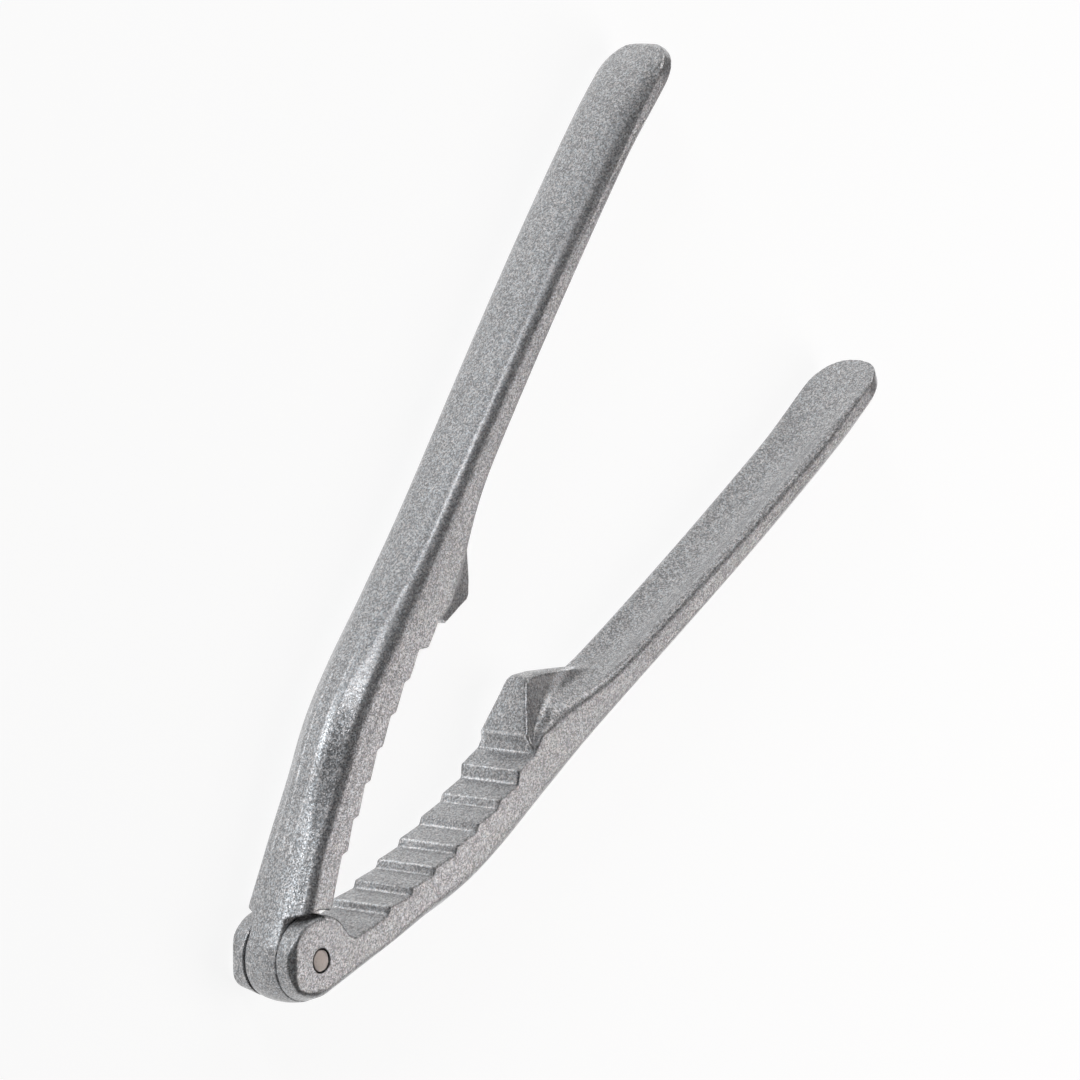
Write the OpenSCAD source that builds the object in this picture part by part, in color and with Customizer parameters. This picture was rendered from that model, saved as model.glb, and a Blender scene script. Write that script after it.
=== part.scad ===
// Lever nutcracker: two die-cast levers on one hinge pin, lying on its side.
// +Z is the hinge pin's axis. The origin is on that axis, on the side face that it rests on.
// +X runs from the pin between the two levers, the fork lever at -Y and the tongue lever at +Y.

/* [Levers] */
// Length of each lever, from the pin's axis to the tip
lever_l = 160; // [155:1:167]
// Angle between the two levers as the part stands, held open by a nut
open_angle = 44; // [30:1:90]
// Width of each lever across the jaw
jaw_w = 12.3; // [11:0.1:13]
// Width of each handle at its widest, near the tip
handle_w = 13.2; // [12:0.1:13.4]
// Width of each handle at its narrowest, behind the wedge
waist_w = 11.6; // [10.5:0.1:12.5]
// Depth of the trough along the inside of each handle
trough_depth = 1.7; // [0.8:0.1:2.2]

/* [Jaw] */
// Distance from the pin's axis to the first tooth
jaw_start = 16.6; // [15:0.1:18]
// Distance from one tooth to the next
tooth_pitch = 5.8; // [5.4:0.1:6]
// Height of each tooth
tooth_h = 0.95; // [0.6:0.05:1.3]
// Height of the wedge that closes the jaw, above the tread in front of it
wedge_h = 9.6; // [8:0.1:10.5]
// Width of the wedge's top edge
wedge_top_w = 3.8; // [3:0.1:5]

/* [Hinge] */
// Width over the fork's two ears
hinge_w = 13.4; // [12.8:0.1:14.5]
// Radius of the ears and of the tongue, about the pin's axis
knuckle_r = 7.1; // [6.8:0.1:7.3]
// Thickness of the tongue between the ears
tongue_w = 6.6; // [5.6:0.1:7.2]
// Gap between the tongue and each ear
side_gap = 0.15; // [0.1:0.05:0.3]
// Gap between each ear's rim and the hollow in the tongue lever around it
ear_gap = 0.7; // [0.4:0.1:1.5]
// Diameter of the hinge pin
pin_d = 3.5; // [3:0.1:4]

/* [Hidden] */
$fn = 64;
pin_r = pin_d / 2;
tongue_bore_r = pin_r + 0.05; // running fit
near_bore_r = pin_r + 0.06; // clearance that shows as a thin ring round the pin's head
slot_w = tongue_w + 2 * side_gap;
slot_r = knuckle_r + 0.3;
knuckle_round = 1.2; // rounding of the ears' outer edges
through = 1; // how far a cutter runs past the face it cuts

// The row of teeth follows the arc of a large circle, lowest at jaw_low
jaw_low = 13;
jaw_floor = -1.25;
jaw_r = 175;
tooth_run = 0.95; // how far a tooth's riser leans away from the hinge
teeth = 7;
last_rise = 1.9; // the last tooth is a taller step
last_tread = 1.2; // height of the tread behind it, above the arc
wall_x = jaw_start + teeth * tooth_pitch; // where the wedge's wall stands
wall_h = 2.9;
wall_top_w = 10; // width of the wall's top edge
ramp_run = 6.1; // from the wall to the wedge's top edge
wedge_l = 24; // from the wall to where the ridge runs out in the trough
wedge_edge = 0.45; // bevel along the wedge's top edge
flank_lean = 0.13; // how much a flank widens for each millimetre down

// Side view of one lever, pin axis at 0, inside upwards: control points of cubic curves
tip_back_l = 17; // length over which the back rises to the tip
tip_side_l = 7.5; // length over which the sides round into the tip
BACK_NEAR = [[0, -knuckle_r], [38.5, -knuckle_r], [27.5, -11.7], [62.6, -2.2]];
BACK_FAR = [[62.6, -2.2], [79, 2.3], [118, 7], [lever_l, 18.8]];
RIM = [[60, 5.1], [98, 11.3], [122, 14.7], [lever_l, 24]];
side_h = 3.3; // height of the flat side, below the rim
neck_h = 5.2; // the same beside the hinge
lip = 1.1; // width of the rim beside the trough
edge = 0.45; // bevel along the rim
roundness = 2.4; // 2 is an elliptical back, more is squarer

function mix(a, b, t) = a + (b - a) * t;
// 0 before a, 1 after b, smooth between
function ease(a, b, x) = let (t = min(max((x - a) / (b - a), 0), 1)) t * t * (3 - 2 * t);
function bezier(p, t) =
    pow(1 - t, 3) * p[0] + 3 * pow(1 - t, 2) * t * p[1] + 3 * (1 - t) * t * t * p[2] + pow(t, 3) * p[3];
// Height of the curve p at distance x, found by halving the interval
function height_at(p, x, lo = 0, hi = 1, n = 22) =
    let (m = (lo + hi) / 2)
    n == 0 ? bezier(p, m)[1]
    : bezier(p, m)[0] < x ? height_at(p, x, m, hi, n - 1)
    : height_at(p, x, lo, m, n - 1);

// Foot and top of each tooth's riser, as [x, y]
function tooth_x(i) = jaw_start + i * tooth_pitch;
function floor_y(x) = jaw_floor + pow(x - jaw_low, 2) / (2 * jaw_r);
function rise(i) = i < teeth - 1 ? tooth_h : last_rise;
JAW = concat(
    [[0, floor_y(jaw_low) + 0.5], [9.4, floor_y(jaw_low) + 0.5]],
    [for (i = [0 : teeth - 1], k = [0, 1]) [tooth_x(i) + k * tooth_run, floor_y(tooth_x(i)) + k * rise(i)]],
    [[wall_x, floor_y(wall_x) + last_tread]]
);

// The lever's outline at distance x: inside, back, half width, depth of the trough, top of the flat side
function rim_y(x) = height_at(RIM, max(x, wall_x + 3));
function inside_y(x) = x <= wall_x ? lookup(x, JAW) : rim_y(x);
function tip_shape(x, l, p) = pow(max(1 - pow(max(x - lever_l + l, 0) / l, p), 0), 1 / p);
function full_back_y(x) = x < BACK_FAR[0][0] ? height_at(BACK_NEAR, x) : height_at(BACK_FAR, x);
function back_y(x) = mix(inside_y(x) - 0.6, full_back_y(x), tip_shape(x, tip_back_l, 2));
function full_width(x) =
    x < 40 ? mix(hinge_w - 0.2, jaw_w, ease(4, 18, x))
    : x < 76 ? mix(jaw_w, waist_w, ease(52, 76, x))
    : mix(waist_w, handle_w, ease(76, lever_l - 12, x));
function half_w(x) = full_width(x) / 2 * tip_shape(x, tip_side_l, 2.3);
function depth(x) = trough_depth * ease(62, 86, x) * (1 - ease(lever_l - 18, lever_l - 1, x));
function smooth_inside_y(x) =
    mix(floor_y(max(x, jaw_low)), rim_y(x), ease(wall_x - 12, wall_x + 8, x));
function side_y(x) = max(smooth_inside_y(x) - mix(neck_h, side_h, ease(4, 30, x)), back_y(x) + 0.3);

// One half of the lever's cross-section at distance x, from the trough's floor to the back, as [z, y]
TROUGH_STEPS = [0, 0.3, 0.6, 0.85, 1];
BACK_ANGLES = [0, 12, 25, 40, 55, 70, 80];
function half_section(x) =
    let (top = inside_y(x), back = back_y(x), side = side_y(x), w = half_w(x), wi = max(w - lip, 0.2))
    concat(
        [for (s = TROUGH_STEPS) [s * wi, top - depth(x) * (1 - s * s)]],
        [[max(w - edge, 0.4), top], [w, top - min(edge, (top - back) / 3)]],
        [for (a = BACK_ANGLES)
            [w * pow(cos(a), 2 / roundness), side - (side - back) * pow(sin(a), 2 / roundness)]],
        [[0, back]]
    );
function section(x) =
    let (h = half_section(x), n = len(h))
    [for (p = h) [x, p[1], p[0]], for (i = [n - 2 : -1 : 1]) [x, h[i][1], -h[i][0]]];

STATIONS = concat(
    [for (p = JAW) p[0]],
    [for (x = [wall_x + 3 : 6 : lever_l - tip_back_l - 3]) x],
    [for (s = [0, 0.25, 0.45, 0.6, 0.74, 0.86, 0.94, 0.985]) lever_l - tip_back_l * (1 - s)]
);

// Closed skin through rings of points, each end a fan about the ring's middle
function middle(ring) =
    [for (axis = [0 : 2]) (max([for (p = ring) p[axis]]) + min([for (p = ring) p[axis]])) / 2];
module skin(rings) {
    n = len(rings[0]);
    last = len(rings) - 1;
    count = (last + 1) * n;
    points = concat([for (r = rings, p = r) p], [middle(rings[0]), middle(rings[last])]);
    walls = [
        for (i = [0 : last - 1], k = [0 : n - 1], half = [0, 1])
        let (a = i * n + k, b = i * n + (k + 1) % n)
        half == 0 ? [a, b + n, b] : [a, a + n, b + n]
    ];
    ends = [
        for (k = [0 : n - 1], end = [0, 1])
        let (next = (k + 1) % n)
        end == 0 ? [k, next, count] : [last * n + next, last * n + k, count + 1]
    ];
    polyhedron(points, concat(walls, ends), convexity = 8);
}

// The wedge behind the teeth, s from 0 at its wall to 1 where the ridge runs out in the trough.
// A ramp rises to the top edge; behind it a narrow ridge falls away.
function ridge_y(s) =
    let (
        wall_y = inside_y(wall_x) + wall_h, top = inside_y(wall_x) + wedge_h, d = s * wedge_l,
        fall = pow(max(d - ramp_run - 1.5, 0) / (wedge_l - ramp_run - 1.5), 1.35)
    )
    d < ramp_run ? mix(wall_y, top, d / ramp_run) : mix(top, rim_y(wall_x + wedge_l) - 0.2, fall);
function ridge_half_w(s) =
    let (d = s * wedge_l)
    d < ramp_run ? mix(wall_top_w, wedge_top_w, d / ramp_run) / 2
    : mix(wedge_top_w / 2, 0.3, (d - ramp_run) / (wedge_l - ramp_run));
// Cross-section: top edge, a small bevel, a steep flank, and a foot sunk in the lever
function wedge_section(s) =
    let (
        x = wall_x + s * wedge_l, top = ridge_y(s), w = ridge_half_w(s),
        base = mix(inside_y(wall_x) - 0.5, rim_y(x) - depth(x) - 0.5, ease(0, 0.25, s)),
        base_w = w + wedge_edge + flank_lean * (top - base),
        half = [
            [w, top], [w + wedge_edge, top - min(wedge_edge, (top - base) / 2)],
            [base_w, base], [base_w * 0.7, base - 1.5]
        ]
    )
    [for (p = half) [x, p[1], p[0]], for (i = [len(half) - 1 : -1 : 0]) [x, half[i][1], -half[i][0]]];
WEDGE_STEPS = [0, 0.06, 0.12, 0.19, ramp_run / wedge_l, 0.32, 0.4, 0.5, 0.62, 0.75, 0.88, 1];

// What the two levers share: jaw, wedge and handle, pin axis at 0, centred on z = 0
module lever_blank() {
    skin([for (x = STATIONS) section(x)]);
    skin([for (s = WEDGE_STEPS) wedge_section(s)]);
}

// Disc about the pin's axis with its outer edges rounded
module knuckle(width) {
    r = knuckle_round;
    rotate_extrude()
        polygon(concat(
            [[0, -width / 2], [0, width / 2]],
            [for (a = [90 : -22.5 : 0]) [knuckle_r - r + r * cos(a), width / 2 - r + r * sin(a)]],
            [for (a = [0 : -22.5 : -90]) [knuckle_r - r + r * cos(a), -width / 2 + r + r * sin(a)]]
        ));
}

// Concave blend between the round knuckle and the flat start of the jaw
module knuckle_fillet(width) {
    r = 2.5;
    y = inside_y(0) + r;
    x = sqrt(pow(knuckle_r + r, 2) - y * y);
    start = atan2(-y, -x) + 360;
    linear_extrude(width, center = true)
        polygon(concat(
            [for (k = [0 : 6]) let (a = mix(start, 270, k / 6)) [x + r * cos(a), y + r * sin(a)]],
            [[x, y - r - 1], [knuckle_r / 2, y - r - 1]]
        ));
}

module disc(r, z_from, z_to) {
    translate([0, 0, z_from]) cylinder(r = r, h = z_to - z_from);
}

module fork_lever() {
    color([0.66, 0.67, 0.69])
    translate([0, 0, hinge_w / 2])
    rotate(-open_angle / 2)
    difference() {
        union() {
            lever_blank();
            knuckle(hinge_w);
            knuckle_fillet(hinge_w - 2 * knuckle_round);
        }
        disc(slot_r, -slot_w / 2, slot_w / 2);
        disc(pin_r, -hinge_w / 2 - through, 0);
        disc(near_bore_r, 0, hinge_w / 2 + through);
    }
}

module tongue_lever() {
    color([0.66, 0.67, 0.69])
    translate([0, 0, hinge_w / 2])
    rotate(open_angle / 2)
    mirror([0, 1, 0])
    difference() {
        union() {
            difference() {
                lever_blank();
                for (side = [-1, 1])
                    translate([0, 0, side * (tongue_w / 2 + hinge_w / 2)])
                        disc(knuckle_r + ear_gap, -hinge_w / 2, hinge_w / 2);
            }
            disc(knuckle_r, -tongue_w / 2, tongue_w / 2);
            knuckle_fillet(tongue_w);
        }
        disc(tongue_bore_r, -hinge_w, hinge_w);
    }
}

// Straight pin with a flat lower end and a slightly domed upper end
module hinge_pin() {
    dome_r = 8;
    dome_h = dome_r - sqrt(dome_r * dome_r - pin_r * pin_r);
    color([0.72, 0.70, 0.67])
    rotate_extrude()
        polygon(concat(
            [[0, 0], [pin_r, 0]],
            [for (s = [1 : -0.25 : 0])
                [s * pin_r, hinge_w - dome_h + sqrt(dome_r * dome_r - pow(s * pin_r, 2)) - dome_r + dome_h]]
        ));
}

fork_lever();
tongue_lever();
hinge_pin();
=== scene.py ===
"""Lever nutcracker: two cast levers with a sparkling silver coating on one steel hinge pin.

Each lever is one closed surface, meshed from a signed distance field built with the same
laws as the CAD part, so that its casting fillets are real geometry.
Lengths inside the shape functions are in millimetres, in a lever's own frame:
x along the lever from the pin's axis, y towards the other lever, z along the pin.
"""
import math

import bpy
import numpy as np
import openvdb
from mathutils import Matrix, Vector


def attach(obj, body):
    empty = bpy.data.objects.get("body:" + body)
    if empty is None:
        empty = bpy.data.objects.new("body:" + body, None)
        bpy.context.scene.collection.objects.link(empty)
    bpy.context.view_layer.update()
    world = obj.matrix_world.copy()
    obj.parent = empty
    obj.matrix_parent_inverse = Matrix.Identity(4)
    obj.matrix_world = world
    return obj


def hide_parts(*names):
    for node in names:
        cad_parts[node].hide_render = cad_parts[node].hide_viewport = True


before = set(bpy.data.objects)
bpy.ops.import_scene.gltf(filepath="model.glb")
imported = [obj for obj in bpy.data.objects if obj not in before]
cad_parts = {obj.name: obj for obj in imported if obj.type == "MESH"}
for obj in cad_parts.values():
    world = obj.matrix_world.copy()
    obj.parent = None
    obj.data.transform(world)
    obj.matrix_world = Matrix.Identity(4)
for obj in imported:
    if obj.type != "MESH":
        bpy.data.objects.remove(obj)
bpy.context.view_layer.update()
scene = bpy.context.scene
MM = 0.001

# ---------------------------------------------------------------- sizes, as in the CAD part
LEVER_L = 160.0
HALF_OPEN = math.radians(22.0)
JAW_W, WAIST_W, HANDLE_W = 12.3, 11.6, 13.2
TROUGH_DEPTH = 1.7
JAW_START, PITCH, TOOTH_H, TOOTH_RUN, TEETH = 16.6, 5.8, 0.95, 0.95, 7
LAST_RISE, LAST_TREAD = 1.9, 1.2
WALL_X = JAW_START + TEETH * PITCH
WALL_H, WEDGE_H, RAMP_RUN, WEDGE_L = 2.9, 9.6, 6.1, 24.0
WALL_TOP_W, WEDGE_TOP_W = 10.0, 3.8
HINGE_W, KNUCKLE_R, TONGUE_W = 13.4, 7.1, 6.6
SLOT_W, SLOT_R, RECESS_R = 6.9, 7.4, 7.8
PIN_R = 1.75
NEAR_BORE_R, FAR_BORE_R, TONGUE_BORE_R = PIN_R + 0.2, PIN_R + 0.02, PIN_R + 0.06
JAW_LOW, JAW_FLOOR, JAW_R = 13.0, -1.25, 175.0
KNUCKLE_FLOOR = JAW_FLOOR + 0.5  # height of the floor between the knuckle and the first tooth
TIP_BACK_L, TIP_SIDE_L, TIP_EDGE_H = 17.0, 7.5, 0.9
BACK_NEAR = [(0, -7.1), (38.5, -7.1), (27.5, -11.7), (62.6, -2.2)]
BACK_FAR = [(62.6, -2.2), (79, 2.3), (118, 7), (LEVER_L, 18.8)]
RIM = [(60, 5.1), (98, 11.3), (122, 14.7), (LEVER_L, 24.0)]
NECK, SIDE_H, TIP_SIDE_H = 5.2, 3.3, 2.0  # height of the flat side at the hinge, jaw and tip
ROUNDNESS, HANDLE_ROUNDNESS = 2.4, 2.1  # powers of the oval back

# ---------------------------------------------------------------- sizes of the casting's finer shapes
SADDLE, SADDLE_END = 2.6, 32.0  # the rim's sweep up to the wedge: its height, its start behind the wall
BACK_FLAT = 2.1  # half width of the flat back along the jaw
BEVEL_HINGE, BEVEL_JAW = 0.34, 0.6  # slope of the bevels beside it, at the hinge and along the jaw
PARTING_DEPTH, PARTING_STEP = 2.8, 0.1  # parting line: distance below the rim, step in the side
JAW_EDGE, LIP_EDGE = 0.36, 1.6  # edge radius along the jaw, and what the trough's lips add to it
TIP_POWER = 2.3  # power of the tip's rounding in plan
NOSE_OUT = 5.64  # where the slanted cut on the ears' nose meets their cheeks, from the pin's axis
# Painted highlight along the foot of the wedge's flanks: where it starts and ends behind the wall, and
# how far out it starts
FOOT_NEAR, FOOT_FAR, FOOT_Z = 5.0, 20.0, 4.0


# ---------------------------------------------------------------- small laws
def mix(a, b, t):
    return a + (b - a) * t


def ease(a, b, x):
    t = np.clip((x - a) / (b - a), 0, 1)
    return t * t * (3 - 2 * t)


def curve(*pieces):
    """Height at distance x of a chain of cubic curves, as a function."""
    xs, ys = [], []
    for p in pieces:
        t = np.linspace(0, 1, 300)[:, None]
        q = np.array(p, float)
        u = 1 - t
        b = u ** 3 * q[0] + 3 * u * u * t * q[1] + 3 * u * t * t * q[2] + t ** 3 * q[3]
        xs.append(b[:, 0])
        ys.append(b[:, 1])
    xs, ys = np.concatenate(xs), np.concatenate(ys)
    return lambda x: np.interp(x, xs, ys)


back_line = curve(BACK_NEAR, BACK_FAR)
rim_line = curve(RIM)


def jaw_arc(x):
    return JAW_FLOOR + (x - JAW_LOW) ** 2 / (2 * JAW_R)


def round_and(a, b, r):
    """Intersection of two fields, its edge rounded to radius r."""
    return np.minimum(np.maximum(a, b), -r) + np.hypot(np.maximum(a + r, 0), np.maximum(b + r, 0))


def round_or(a, b, r):
    """Union of two fields with a fillet of radius r."""
    return -round_and(-a, -b, r)


def rounded_line(points, radii):
    """The points of a line with its inner corners replaced by arcs."""
    out = [points[0]]
    for i in range(1, len(points) - 1):
        p, a, b = (np.array(points[k], float) for k in (i, i - 1, i + 1))
        to_a, to_b = np.linalg.norm(a - p), np.linalg.norm(b - p)
        u, v = (a - p) / to_a, (b - p) / to_b
        half = math.acos(np.clip(u @ v, -1, 1)) / 2
        if radii[i] == 0 or half > 1.55:  # no radius, or nearly straight
            out.append(tuple(p))
            continue
        reach = min(radii[i] / math.tan(half), 0.45 * to_a, 0.45 * to_b)
        middle = (u + v) / np.linalg.norm(u + v)
        c = p + middle * reach / math.cos(half)
        s, e = p + u * reach - c, p + v * reach - c
        turn = math.atan2(s[0] * e[1] - s[1] * e[0], s @ e)
        for k in range(7):
            cw, sw = math.cos(turn * k / 6), math.sin(turn * k / 6)
            out.append((c[0] + s[0] * cw - s[1] * sw, c[1] + s[0] * sw + s[1] * cw))
    out.append(points[-1])
    return np.array(out, float)


def under_line(x, y, line):
    """Distance to a line that runs from left to right, negative below it."""
    far = np.full(np.broadcast(x, y).shape, 1e9)
    for (ax, ay), (bx, by) in zip(line[:-1], line[1:]):
        dx, dy = bx - ax, by - ay
        t = np.clip(((x - ax) * dx + (y - ay) * dy) / (dx * dx + dy * dy), 0, 1)
        far = np.minimum(far, (x - ax - t * dx) ** 2 + (y - ay - t * dy) ** 2)
    above = y > np.interp(x, line[:, 0], line[:, 1])
    return np.sqrt(far) * np.where(above, 1, -1)


# ---------------------------------------------------------------- outlines in the lever's side view
def jaw_outline():
    """Floor beside the knuckle, the stepped teeth, then the rim of the handle."""
    points, radii = [(-30.0, KNUCKLE_FLOOR), (9.4, KNUCKLE_FLOOR)], [0, 3]
    for i in range(TEETH):
        x = JAW_START + i * PITCH
        rise = TOOTH_H if i < TEETH - 1 else LAST_RISE
        points += [(x, jaw_arc(x)), (x + TOOTH_RUN, jaw_arc(x) + rise)]
        radii += [0.4, 0.32]
    points.append((WALL_X - 0.4, jaw_arc(WALL_X) + LAST_TREAD))
    radii.append(0.5)
    for x in np.arange(WALL_X + 2.8, LEVER_L + 12, 2.5):
        saddle = SADDLE * float(ease(WALL_X + SADDLE_END, WALL_X + 6, x)) ** 2
        past_tip = max(x - LEVER_L, 0)
        points.append((x, float(rim_line(x)) + saddle + past_tip * 0.25))
        radii.append(0)
    return rounded_line(points, radii)


def wedge_outline():
    """The wall and ramp that close the jaw, the crest and the ridge behind it."""
    foot = jaw_arc(WALL_X) + LAST_TREAD
    points = [(-30, foot - 12), (WALL_X - 0.5, foot - 6), (WALL_X - 0.1, foot)]
    points.append((WALL_X + 0.15, foot + WALL_H))
    radii = [0, 0, 0, 0.8]
    top = foot + WEDGE_H
    points.append((WALL_X + RAMP_RUN + 0.3, top + 0.15))
    radii.append(1.7)
    ridge_x = WALL_X + RAMP_RUN + 1.5
    end_x, end_y = WALL_X + WEDGE_L, float(rim_line(WALL_X + WEDGE_L)) - 0.2
    for s in np.linspace(0.12, 1, 12):
        points.append((mix(ridge_x, end_x, s), mix(top, end_y, s ** 1.1)))
        radii.append(0)
    points += [(end_x + 6, end_y - 4), (LEVER_L + 30, end_y - 12)]
    radii += [0, 0]
    return rounded_line(points, radii)


JAW_LINE, WEDGE_LINE = jaw_outline(), wedge_outline()


def half_width(x):
    near = mix(HINGE_W / 2 - 0.02, JAW_W / 2, ease(3, 18, x))
    far = mix(WAIST_W / 2, HANDLE_W / 2, ease(76, LEVER_L - 12, x))
    middle = mix(JAW_W / 2, WAIST_W / 2, ease(52, 76, x))
    return np.where(x < 40, near, np.where(x < 76, middle, far))


def plan(x, z):
    """Distance from the lever's plan outline: straight sides and a rounded tip."""
    w = half_width(x)
    t = np.maximum(x - LEVER_L + TIP_SIDE_L, 0) / TIP_SIDE_L
    return (((np.abs(z) / w) ** TIP_POWER + t ** TIP_POWER) ** (1 / TIP_POWER) - 1) * w


def smooth_inside(x):
    """The inside's height without its teeth, wedge and trough."""
    jaw, rim = jaw_arc(np.maximum(x, JAW_LOW)), rim_line(np.maximum(x, WALL_X + 3))
    return mix(jaw, rim, ease(WALL_X - 12, WALL_X + 8, x))


def parting_line(x):
    return smooth_inside(x) - PARTING_DEPTH


def trough(x, z):
    """Depth of the trough below the rim."""
    depth = TROUGH_DEPTH * ease(64, 86, x) * (1 - ease(LEVER_L - 20, LEVER_L - 2, x))
    across = np.clip(np.abs(z) / (half_width(x) - 0.3), 0, 1)
    return depth * (1 - across ** 2) ** 1.5


def oval(across, down, w, h, n):
    """Distance from a superellipse w wide and h deep, from its scaled coordinates."""
    power = across ** n + down ** n
    steepness = np.hypot(across ** (n - 1) / w, down ** (n - 1) / h)
    steepness = steepness / np.maximum(power, 1e-6) ** ((n - 1) / n)
    return (power ** (1 / n) - 1) / np.maximum(steepness, 0.02)


def shell(x, y, z):
    """Distance from the sides and the back: bevelled along the jaw, oval along the handle."""
    w = half_width(x)
    step = PARTING_STEP * ease(8, 16, x) * ease(0.3, -0.3, y - parting_line(x))
    p = plan(x, z) + step
    tip = np.clip((x - LEVER_L + TIP_BACK_L) / TIP_BACK_L, 0, 1)
    back = mix(smooth_inside(x) - TIP_EDGE_H, back_line(x), np.sqrt(1 - tip ** 2))
    side_h = mix(mix(NECK, SIDE_H, ease(4, 30, x)), TIP_SIDE_H, ease(90, LEVER_L - 5, x))
    side = np.maximum(smooth_inside(x) - side_h, back + 0.3)
    across = np.maximum(p / w + 1, 0)
    down = np.maximum(side - y, 0) / (side - back)
    n = mix(ROUNDNESS, HANDLE_ROUNDNESS, ease(70, 110, x))
    angle = mix(BEVEL_HINGE, BEVEL_JAW, ease(14, 30, x))
    bevel = (np.abs(z) - BACK_FLAT) * np.sin(angle) - (y - back) * np.cos(angle)
    faces = round_and(round_and(p, bevel, 1.2), back - y, 0.5)
    return mix(faces, oval(across, down, w, side - back, n), ease(34, 68, x))


# ---------------------------------------------------------------- the two levers as fields
def wedge_half_width(x):
    """Half width of the wedge's top: it narrows fast up the ramp, then slowly along the ridge."""
    past = x - WALL_X - RAMP_RUN
    on_ramp = (WALL_TOP_W - WEDGE_TOP_W) / 2 / RAMP_RUN
    on_ridge = (WEDGE_TOP_W / 2 - 0.2) / (WEDGE_L - RAMP_RUN)
    bend = np.hypot(past, 1.2) - 1.2
    half = WEDGE_TOP_W / 2 - (on_ramp + on_ridge) / 2 * past + (on_ramp - on_ridge) / 2 * bend
    return np.maximum(half, 0)


def blank(x, y, z):
    """Jaw, wedge and handle, without the hinge."""
    top = under_line(x, y + trough(x, z), JAW_LINE)
    crest = np.interp(x, WEDGE_LINE[:, 0], WEDGE_LINE[:, 1])
    below = np.clip(crest - y, 0, 9)
    flank = np.abs(z) - wedge_half_width(x) - np.minimum(0.9 * below, 0.4 + 0.14 * below)
    crest_edge = 0.4 + 0.6 * ease(WALL_X + 5, WALL_X + 14, x)
    wedge = round_and(under_line(x, y, WEDGE_LINE), flank, crest_edge)
    wedge = np.maximum(wedge, rim_line(np.maximum(x, WALL_X + 3)) - 2.5 - y)
    fillet = mix(0.9, 3.8, ease(WALL_X + 2, WALL_X + 9, x))
    lip = ease(WALL_X - 2, WALL_X + 10, x) * ease(LEVER_L - 4, LEVER_L - 22, x)
    return round_and(round_or(top, wedge, fillet), shell(x, y, z), JAW_EDGE + LIP_EDGE * lip)


def disc(x, y, r):
    return np.hypot(x, y) - r


def knuckle(x, y, z, bevel_everywhere):
    """The round end: the back's bevels carried about the pin's axis, fading away from the back."""
    rim = disc(x, y, KNUCKLE_R)
    behind = ease(0.2, 0.95, -y / np.maximum(np.hypot(x, y), 1e-3))
    angle = BEVEL_HINGE * np.maximum(0.25 + 0.75 * behind, bevel_everywhere)
    bevel = (np.abs(z) - BACK_FLAT) * np.sin(angle) + rim * np.cos(angle)
    cheek = np.abs(z) - HINGE_W / 2
    return round_and(round_and(cheek, bevel, 0.7 + 0.5 * behind), rim, 0.5)


def neck_fillet(x, y, z):
    """Concave blend between the knuckle and the jaw's floor."""
    outline = round_or(disc(x, y, KNUCKLE_R), y - KNUCKLE_FLOOR, 2.5)
    outline = np.maximum(np.maximum(outline, x - 12), np.maximum(3 - x, -2 - y))
    return round_and(outline, np.abs(z) - half_width(x), 0.4)


def fork_field(x, y, z):
    """The lever with two ears, its nose cut slantwise, a slot for the tongue and the pin's bore."""
    solid = np.minimum(np.maximum(blank(x, y, z), -x), knuckle(x, y, z, 0.0))
    solid = np.minimum(solid, neck_fillet(x, y, z))
    nose = (-0.926 * x + 0.379 * y - NOSE_OUT) * 0.68 + (np.abs(z) - HINGE_W / 2) * 0.73
    solid = round_and(solid, nose, 0.25)
    slot = round_and(disc(x, y, SLOT_R), np.abs(z) - SLOT_W / 2, 0.1)
    solid = round_and(solid, -slot, 0.25)
    bore = disc(x, y, np.where(z > 0, NEAR_BORE_R, FAR_BORE_R))
    return np.maximum(solid, -bore)


def tongue_field(x, y, z):
    """The lever with one tongue, a recess round it for the ears and the pin's bore."""
    recess = np.maximum(disc(x, y, RECESS_R), TONGUE_W / 2 - np.abs(z))
    solid = round_and(np.maximum(blank(x, y, z), -x), -recess, 0.3)
    tongue = np.minimum(knuckle(x, y, z, 0.9), neck_fillet(x, y, z))
    solid = np.minimum(solid, round_and(tongue, np.abs(z) - TONGUE_W / 2, 0.2))
    return np.maximum(solid, -disc(x, y, TONGUE_BORE_R))


# ---------------------------------------------------------------- from field to mesh
STEP = 0.3
MAX_MOVE = 0.12  # how far one step may move a vertex towards the surface
X_KNOTS = np.concatenate([np.arange(-7.8, 86, STEP), np.arange(86, LEVER_L + 1.5, 2.2 * STEP)])
Y_KNOTS = np.arange(-9.6, 26.0, STEP)
Z_KNOTS = np.arange(-7.2, 7.3, STEP)


def slope_of(field, p, h=0.01):
    """The field's gradient at points p."""
    g = np.empty_like(p)
    for k in range(3):
        d = np.zeros(3)
        d[k] = h
        g[:, k] = (field(*(p + d).T) - field(*(p - d).T)) / (2 * h)
    return g


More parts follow.
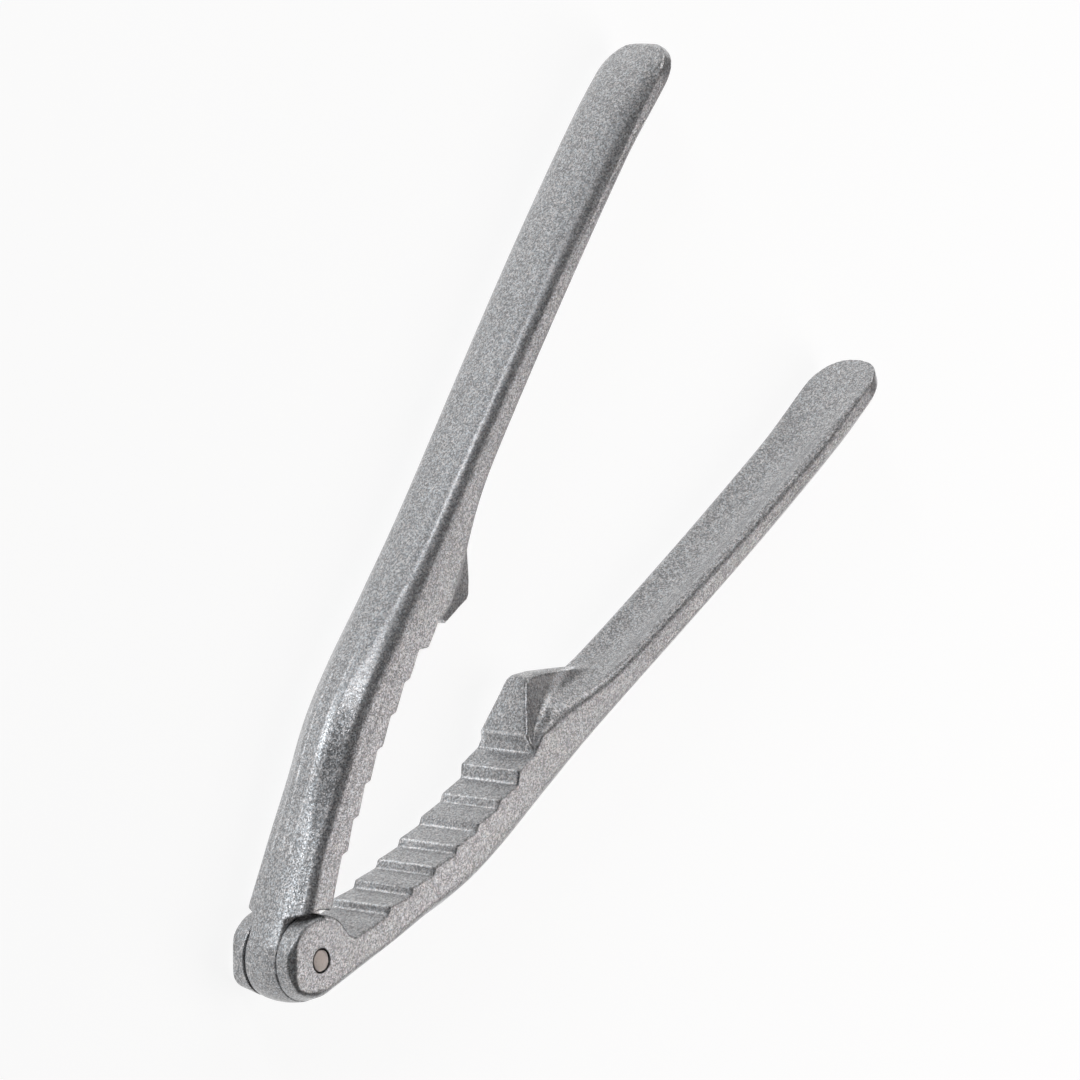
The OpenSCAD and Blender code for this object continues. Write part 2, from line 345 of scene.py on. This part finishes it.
def painted_highlight_mask(field, p, h=0.15):
    """Painted highlight: 1 on the jaw's narrow edges and fillets and along the foot of the wedge's
    flanks, 0 elsewhere.
    """
    bend = -6 * field(*p.T)
    for k in range(3):
        d = np.zeros(3)
        d[k] = h
        bend += field(*(p + d).T) + field(*(p - d).T)
    bend = bend / h ** 2
    x, y, z = p.T
    inside = ease(1.2, 0.5, np.abs(z) - half_width(x) + 1.6)
    # teeth: painted highlight on the edges and roots of the treads and risers, found from the field's
    # curvature
    teeth = ease(0.7, 1.8, np.abs(bend)) * inside * ease(14, 15, x) * ease(WALL_X + 1, WALL_X, x)
    # foot: painted highlight along the valley at the foot of the wedge's flanks
    foot_z = FOOT_Z * (WALL_X + FOOT_FAR - x) / (FOOT_FAR - FOOT_NEAR)
    foot = ease(0.42, 0.16, np.abs(np.abs(z) - foot_z))
    foot = foot * ease(0.0, 0.5, y - rim_line(np.maximum(x, WALL_X)))
    foot = foot * ease(FOOT_NEAR, FOOT_NEAR + 1, x - WALL_X) * ease(FOOT_FAR, FOOT_FAR - 2, x - WALL_X)
    return np.maximum(teeth, foot)


def lever_mesh(name, field, turn, flip):
    """Meshes the field, moves every vertex onto its surface and stands the lever in the row frame."""
    values = field(X_KNOTS[:, None, None], Y_KNOTS[None, :, None], Z_KNOTS[None, None, :])
    grid = openvdb.FloatGrid(3.0)
    grid.copyFromArray(np.ascontiguousarray(np.clip(values / STEP, -3, 3), dtype=np.float32))
    p, _, quads = grid.convertToPolygons(isovalue=0.0, adaptivity=0.0)
    p = np.array(p, float)
    for k, knots in enumerate((X_KNOTS, Y_KNOTS, Z_KNOTS)):
        p[:, k] = np.interp(p[:, k], np.arange(len(knots)), knots)
    for _ in range(3):
        g = slope_of(field, p)
        size = np.maximum((g * g).sum(1), 0.2)
        move = field(*p.T) / size
        p -= g * np.clip(move, -MAX_MOVE, MAX_MOVE)[:, None]
    normal = slope_of(field, p)
    normal /= np.maximum(np.linalg.norm(normal, axis=1), 1e-6)[:, None]
    # painted highlight mask, kept on each vertex for the enamel's colour
    painted_highlight = painted_highlight_mask(field, p)
    quads = np.array(quads)
    if flip:
        p[:, 1] *= -1
        normal[:, 1] *= -1
        quads = quads[:, ::-1]
    c, s = math.cos(turn), math.sin(turn)
    spin = np.array([[c, -s, 0], [s, c, 0], [0, 0, 1]])
    p = (p @ spin.T + [0, 0, HINGE_W / 2]) * MM
    normal = normal @ spin.T
    mesh = bpy.data.meshes.new(name)
    mesh.from_pydata(p.tolist(), [], quads.tolist())
    mesh.polygons.foreach_set("use_smooth", np.ones(len(quads), bool))
    mesh.update()
    mesh.normals_split_custom_set_from_vertices(normal.tolist())
    obj = bpy.data.objects.new(name, mesh)
    scene.collection.objects.link(obj)
    # the painted highlight mask as a vertex attribute, read by the enamel
    layer = mesh.attributes.new("painted_highlight", "FLOAT", "POINT")
    layer.data.foreach_set("value", painted_highlight.astype(np.float32))
    return obj


# ---------------------------------------------------------------- pin
def lathe(name, profile, steps):
    """Turns (radius, height) points about the row frame's Z axis."""
    verts, faces = [], []
    rings = [p for p in profile if p[0] > 0]
    for r, h in rings:
        for k in range(steps):
            a = 2 * math.pi * k / steps
            verts.append((r * math.cos(a) * MM, r * math.sin(a) * MM, h * MM))
    for i in range(len(rings) - 1):
        for k in range(steps):
            a, b = i * steps + k, i * steps + (k + 1) % steps
            faces.append((a, b, b + steps, a + steps))
    first, last = len(verts), len(verts) + 1
    verts += [(0, 0, profile[0][1] * MM), (0, 0, profile[-1][1] * MM)]
    top = (len(rings) - 1) * steps
    for k in range(steps):
        faces.append((first, (k + 1) % steps, k))
        faces.append((last, top + k, top + (k + 1) % steps))
    mesh = bpy.data.meshes.new(name)
    mesh.from_pydata(verts, [], faces)
    mesh.polygons.foreach_set("use_smooth", np.ones(len(faces), bool))
    mesh.update()
    obj = bpy.data.objects.new(name, mesh)
    scene.collection.objects.link(obj)
    return obj


def pin_profile():
    """Flat lower end, upper end with a turned edge and a low dome."""
    dome_r = 8.0
    dome_h = dome_r - math.sqrt(dome_r ** 2 - PIN_R ** 2)
    points = [(0, 0.0), (0.8, 0.0), (PIN_R - 0.12, 0.0), (PIN_R - 0.03, 0.03), (PIN_R, 0.12)]
    points += [(PIN_R, h) for h in np.linspace(1.5, HINGE_W - 1.5, 6)]
    shoulder = HINGE_W - dome_h
    points += [(PIN_R, shoulder - 0.1), (PIN_R - 0.03, shoulder - 0.02)]
    points.append((PIN_R - 0.12, shoulder + 0.05))
    for s in (0.86, 0.74, 0.6, 0.45, 0.3, 0.15):
        points.append((s * PIN_R, HINGE_W - dome_r + math.sqrt(dome_r ** 2 - (s * PIN_R) ** 2)))
    return points + [(0, HINGE_W)]


# ---------------------------------------------------------------- materials
class Nodes:
    """Shorthand for building one material's nodes; "#3" means a node's input number 3."""

    def __init__(self, name):
        self.material = bpy.data.materials.new(name)
        self.material.use_nodes = True
        self.tree = self.material.node_tree
        self.shader = self.tree.nodes["Principled BSDF"]

    def add(self, kind, settings=None, **inputs):
        node = self.tree.nodes.new(kind)
        for key, value in (settings or {}).items():
            setattr(node, key, value)
        for key, value in inputs.items():
            self.put(node, key.replace("_", " "), value)
        return node

    def put(self, node, key, value):
        socket = node.inputs[int(key[1:])] if key[0] == "#" else node.inputs[key]
        if isinstance(value, bpy.types.NodeSocket):
            self.tree.links.new(value, socket)
        else:
            socket.default_value = value

    def math(self, operation, a, b=0.0):
        node = self.tree.nodes.new("ShaderNodeMath")
        node.operation = operation
        self.put(node, "#0", a)
        self.put(node, "#1", b)
        return node.outputs[0]

    def blend(self, factor, a, b, mode="MIX"):
        node = self.tree.nodes.new("ShaderNodeMix")
        node.data_type, node.blend_type = "RGBA", mode
        self.put(node, "#0", factor)
        self.put(node, "#6", a)
        self.put(node, "#7", b)
        return node.outputs[2]

    def span(self, value, a, b, c, d):
        node = self.tree.nodes.new("ShaderNodeMapRange")
        for key, v in zip(("Value", "From Min", "From Max", "To Min", "To Max"), (value, a, b, c, d)):
            self.put(node, key, v)
        return node.outputs[0]


FLAKE, CLOUD, SWELL, GRAIN = 0.21 * MM, 1.1 * MM, 2.6 * MM, 0.25 * MM  # sizes of the patterns
FLAKE_LEAN = 0.05  # how far a flake's normal leans, at most, along each axis


def coating():
    """Silver stoving enamel with coarse aluminium flakes over a slightly uneven casting, with painted
    highlights on the jaw's edges and the wedge's valley.
    """
    n = Nodes("sparkle_silver_enamel")
    where = n.add("ShaderNodeTexCoord").outputs["Object"]
    flakes = n.add("ShaderNodeTexVoronoi", {"feature": "F1"}, Vector=where, Scale=1 / FLAKE)
    tint = n.add("ShaderNodeSeparateColor", Color=flakes.outputs["Color"])
    fleck = n.math("POWER", tint.outputs[0], 1.5)
    bright = n.span(fleck, 0, 1, 0.20, 0.62)
    cloud = n.add("ShaderNodeTexNoise", Vector=where, Scale=1 / CLOUD, Detail=3.0, Roughness=0.6)
    bright = n.math("MULTIPLY", bright, n.span(cloud.outputs[0], 0.3, 0.7, 0.9, 1.1))
    # Painted highlight: the mask stored on the levers lightens the base colour along the jaw's edges
    # and the foot of the wedge, standing in for glints of light
    painted_highlight = n.add("ShaderNodeAttribute", {"attribute_name": "painted_highlight"}).outputs["Fac"]
    bright = n.math("ADD", bright, n.math("MULTIPLY", painted_highlight, n.span(fleck, 0, 1, 0.25, 0.6)))
    cool = n.blend(tint.outputs[1], (0.93, 0.99, 1.05, 1), (1.06, 1.0, 0.98, 1))
    grey = n.add("ShaderNodeCombineColor", Red=bright, Green=bright, Blue=bright).outputs[0]
    n.put(n.shader, "Base Color", n.blend(1.0, grey, cool, "MULTIPLY"))
    n.put(n.shader, "Metallic", 0.55)
    n.put(n.shader, "Roughness", n.span(tint.outputs[2], 0, 1, 0.34, 0.46))
    n.put(n.shader, "Coat Weight", 0.5)
    n.put(n.shader, "Coat Roughness", 0.15)
    swell = n.add("ShaderNodeTexNoise", Vector=where, Scale=1 / SWELL, Detail=2.0)
    bump = n.add("ShaderNodeBump", Strength=0.3, Distance=0.06 * MM, Height=swell.outputs[0])
    lean = n.add("ShaderNodeVectorMath", {"operation": "MULTIPLY_ADD"})
    n.put(lean, "#0", flakes.outputs["Color"])
    n.put(lean, "#1", (2 * FLAKE_LEAN,) * 3)
    n.put(lean, "#2", (-FLAKE_LEAN,) * 3)
    tilted = n.add("ShaderNodeVectorMath", {"operation": "ADD"})
    n.put(tilted, "#0", bump.outputs[0])
    n.put(tilted, "#1", lean.outputs[0])
    facet = n.add("ShaderNodeVectorMath", {"operation": "NORMALIZE"})
    n.put(facet, "#0", tilted.outputs[0])
    n.put(n.shader, "Normal", facet.outputs[0])
    return n.material


def steel():
    """Turned steel, dulled."""
    n = Nodes("pin_steel")
    where = n.add("ShaderNodeTexCoord").outputs["Object"]
    grain = n.add("ShaderNodeTexNoise", Vector=where, Scale=1 / GRAIN, Detail=4.0)
    dark, light = (0.20, 0.175, 0.16, 1), (0.34, 0.31, 0.29, 1)
    n.put(n.shader, "Base Color", n.blend(grain.outputs[0], dark, light))
    n.put(n.shader, "Metallic", 1.0)
    n.put(n.shader, "Roughness", n.span(grain.outputs[0], 0.3, 0.7, 0.28, 0.45))
    bump = n.add("ShaderNodeBump", Strength=0.2, Distance=0.05 * MM, Height=grain.outputs[0])
    n.put(n.shader, "Normal", bump.outputs[0])
    return n.material


# ---------------------------------------------------------------- pieces
enamel = coating()
fork = lever_mesh("fork_lever_casting", fork_field, -HALF_OPEN, False)
tongue = lever_mesh("tongue_lever_casting", tongue_field, HALF_OPEN, True)
pin = lathe("hinge_pin_turned", pin_profile(), 64)
for piece, body, node, slot, material in (
    (fork, "fork", "fork_lever", "lever_coating", enamel),
    (tongue, "tongue", "tongue_lever", "lever_coating", enamel),
    (pin, "fork", "hinge_pin", "pin_steel", steel()),
):
    piece.data.materials.append(material)
    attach(piece, body)
    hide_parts(node)

# ---------------------------------------------------------------- stage
floor_mesh = bpy.data.meshes.new("floor")
REACH = 4.0
corners = [(-REACH, -REACH, 0), (REACH, -REACH, 0), (REACH, REACH, 0), (-REACH, REACH, 0)]
floor_mesh.from_pydata(corners, [], [(0, 1, 2, 3)])
floor = bpy.data.objects.new("floor", floor_mesh)
scene.collection.objects.link(floor)
paper = Nodes("pale_floor")
paper.put(paper.shader, "Base Color", (0.17, 0.17, 0.17, 1))
paper.put(paper.shader, "Roughness", 0.9)
paper.put(paper.shader, "Emission Color", (1.0, 1.0, 1.0, 1))
paper.put(paper.shader, "Emission Strength", 0.88)
floor_mesh.materials.append(paper.material)
floor.visible_shadow = False

# The camera's own directions in the row frame
RIGHT = Vector((0.4700, -0.4585, 0.7543))
UP = Vector((0.7549, 0.6516, -0.0743))
BACK = Vector((-0.4574, 0.6043, 0.6523))

world = bpy.data.worlds.new("studio")
world.use_nodes = True
sky = world.node_tree
way = sky.nodes.new("ShaderNodeTexCoord").outputs["Generated"]
toward = sky.nodes.new("ShaderNodeVectorMath")
toward.operation = "DOT_PRODUCT"
sky.links.new(way, toward.inputs[0])
toward.inputs[1].default_value = BACK
shade = sky.nodes.new("ShaderNodeMapRange")
shade.interpolation_type = "SMOOTHSTEP"
for key, v in (("From Min", 0.60), ("From Max", 0.98), ("To Min", 0.6), ("To Max", 0.42)):
    shade.inputs[key].default_value = v
sky.links.new(toward.outputs["Value"], shade.inputs["Value"])
sky.links.new(shade.outputs[0], sky.nodes["Background"].inputs["Strength"])
scene.world = world
scene.view_settings.view_transform = "Standard"


def softbox(name, aim, towards, far, size, power, colour):
    """A square area light, placed far from aim in the direction towards."""
    data = bpy.data.lights.new(name, "AREA")
    data.shape, data.size = "SQUARE", size
    data.energy, data.color = power, colour
    data.cycles.use_multiple_importance_sampling = False
    obj = bpy.data.objects.new(name, data)
    way = Vector(towards).normalized()
    obj.location = Vector(aim) + way * far
    obj.rotation_euler = way.to_track_quat("Z", "Y").to_euler()
    scene.collection.objects.link(obj)


CENTRE = (0.07, 0.0, HINGE_W / 2 * MM)
WARM = (1.0, 0.96, 0.95)
softbox("cool_key", CENTRE, -0.70 * RIGHT + 0.52 * UP + 0.51 * BACK, 0.8, 0.16, 1.1, (0.90, 0.96, 1.0))
softbox("warm_side", (0.07, 0.0, 0.0), 0.97 * RIGHT - 0.08 * UP + 0.18 * BACK, 0.6, 0.45, 1.0, WARM)
softbox("low_side", (0.06, -0.03, 0.0), 0.85 * RIGHT - 0.30 * UP - 0.33 * BACK, 0.6, 0.4, 0.8, WARM)
softbox("front", CENTRE, -0.13 * RIGHT + 0.65 * UP + 0.75 * BACK, 0.8, 0.16, 1.0, (0.97, 0.98, 1.0))
softbox("top", CENTRE, 0.50 * RIGHT + 0.85 * UP + 0.05 * BACK, 0.8, 0.5, 1.5, (1.0, 0.99, 0.98))

camera_data = bpy.data.cameras.new("camera")
camera_data.lens, camera_data.sensor_width = 268.5, 36.0
camera_data.clip_end = 20.0
camera = bpy.data.objects.new("camera", camera_data)
turn = Matrix((RIGHT, UP, BACK)).transposed().to_4x4()
camera.matrix_world = Matrix.Translation((-0.5012, 0.7742, 0.8407)) @ turn
scene.collection.objects.link(camera)
scene.camera = camera
